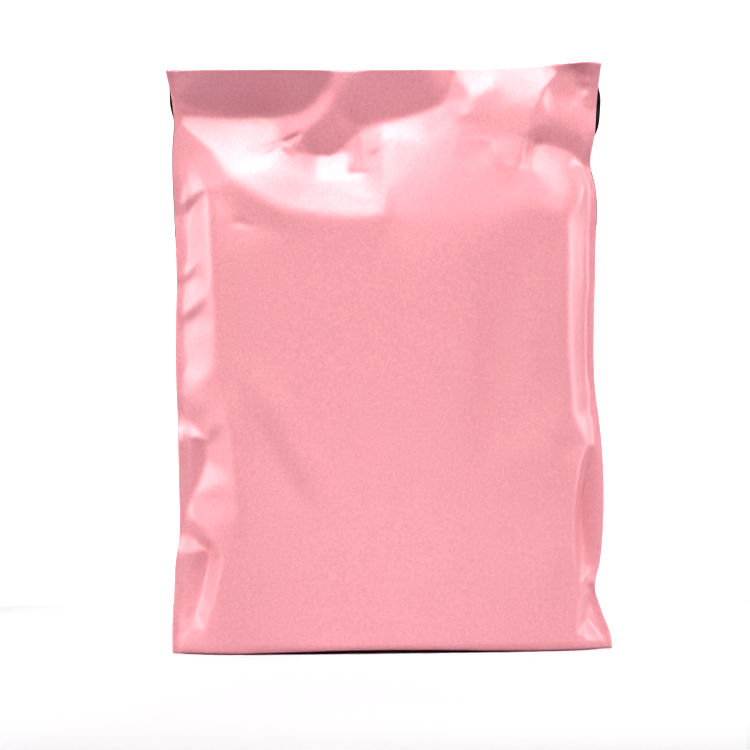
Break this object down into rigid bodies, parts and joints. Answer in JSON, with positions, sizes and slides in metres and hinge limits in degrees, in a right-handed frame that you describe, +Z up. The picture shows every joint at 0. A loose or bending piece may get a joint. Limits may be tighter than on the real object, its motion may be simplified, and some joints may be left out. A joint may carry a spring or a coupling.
{
  "type": "poly mailer bag",
  "caption": "Opaque film mailing bag, filled with a flat folded garment and closed: its top flap is folded back and glued down, and it stands on its folded bottom edge.",
  "frame": {"origin": "middle of the base, on the surface that the bag stands on", "axes": "+Z up to the folded top edge; the plain front panel faces -Y and the glued flap is on the back, +Y; X runs along the width"},
  "size_m": [0.2508, 0.035, 0.331],
  "materials": {
    "pink_film": "satin polyethylene film",
    "clear_glue": "clear pressure-sensitive hot melt"
  },
  "bodies": {
    "root": {"mailer_bag": "pink_film", "adhesive_strip": "clear_glue"}
  },
  "joints": []
}
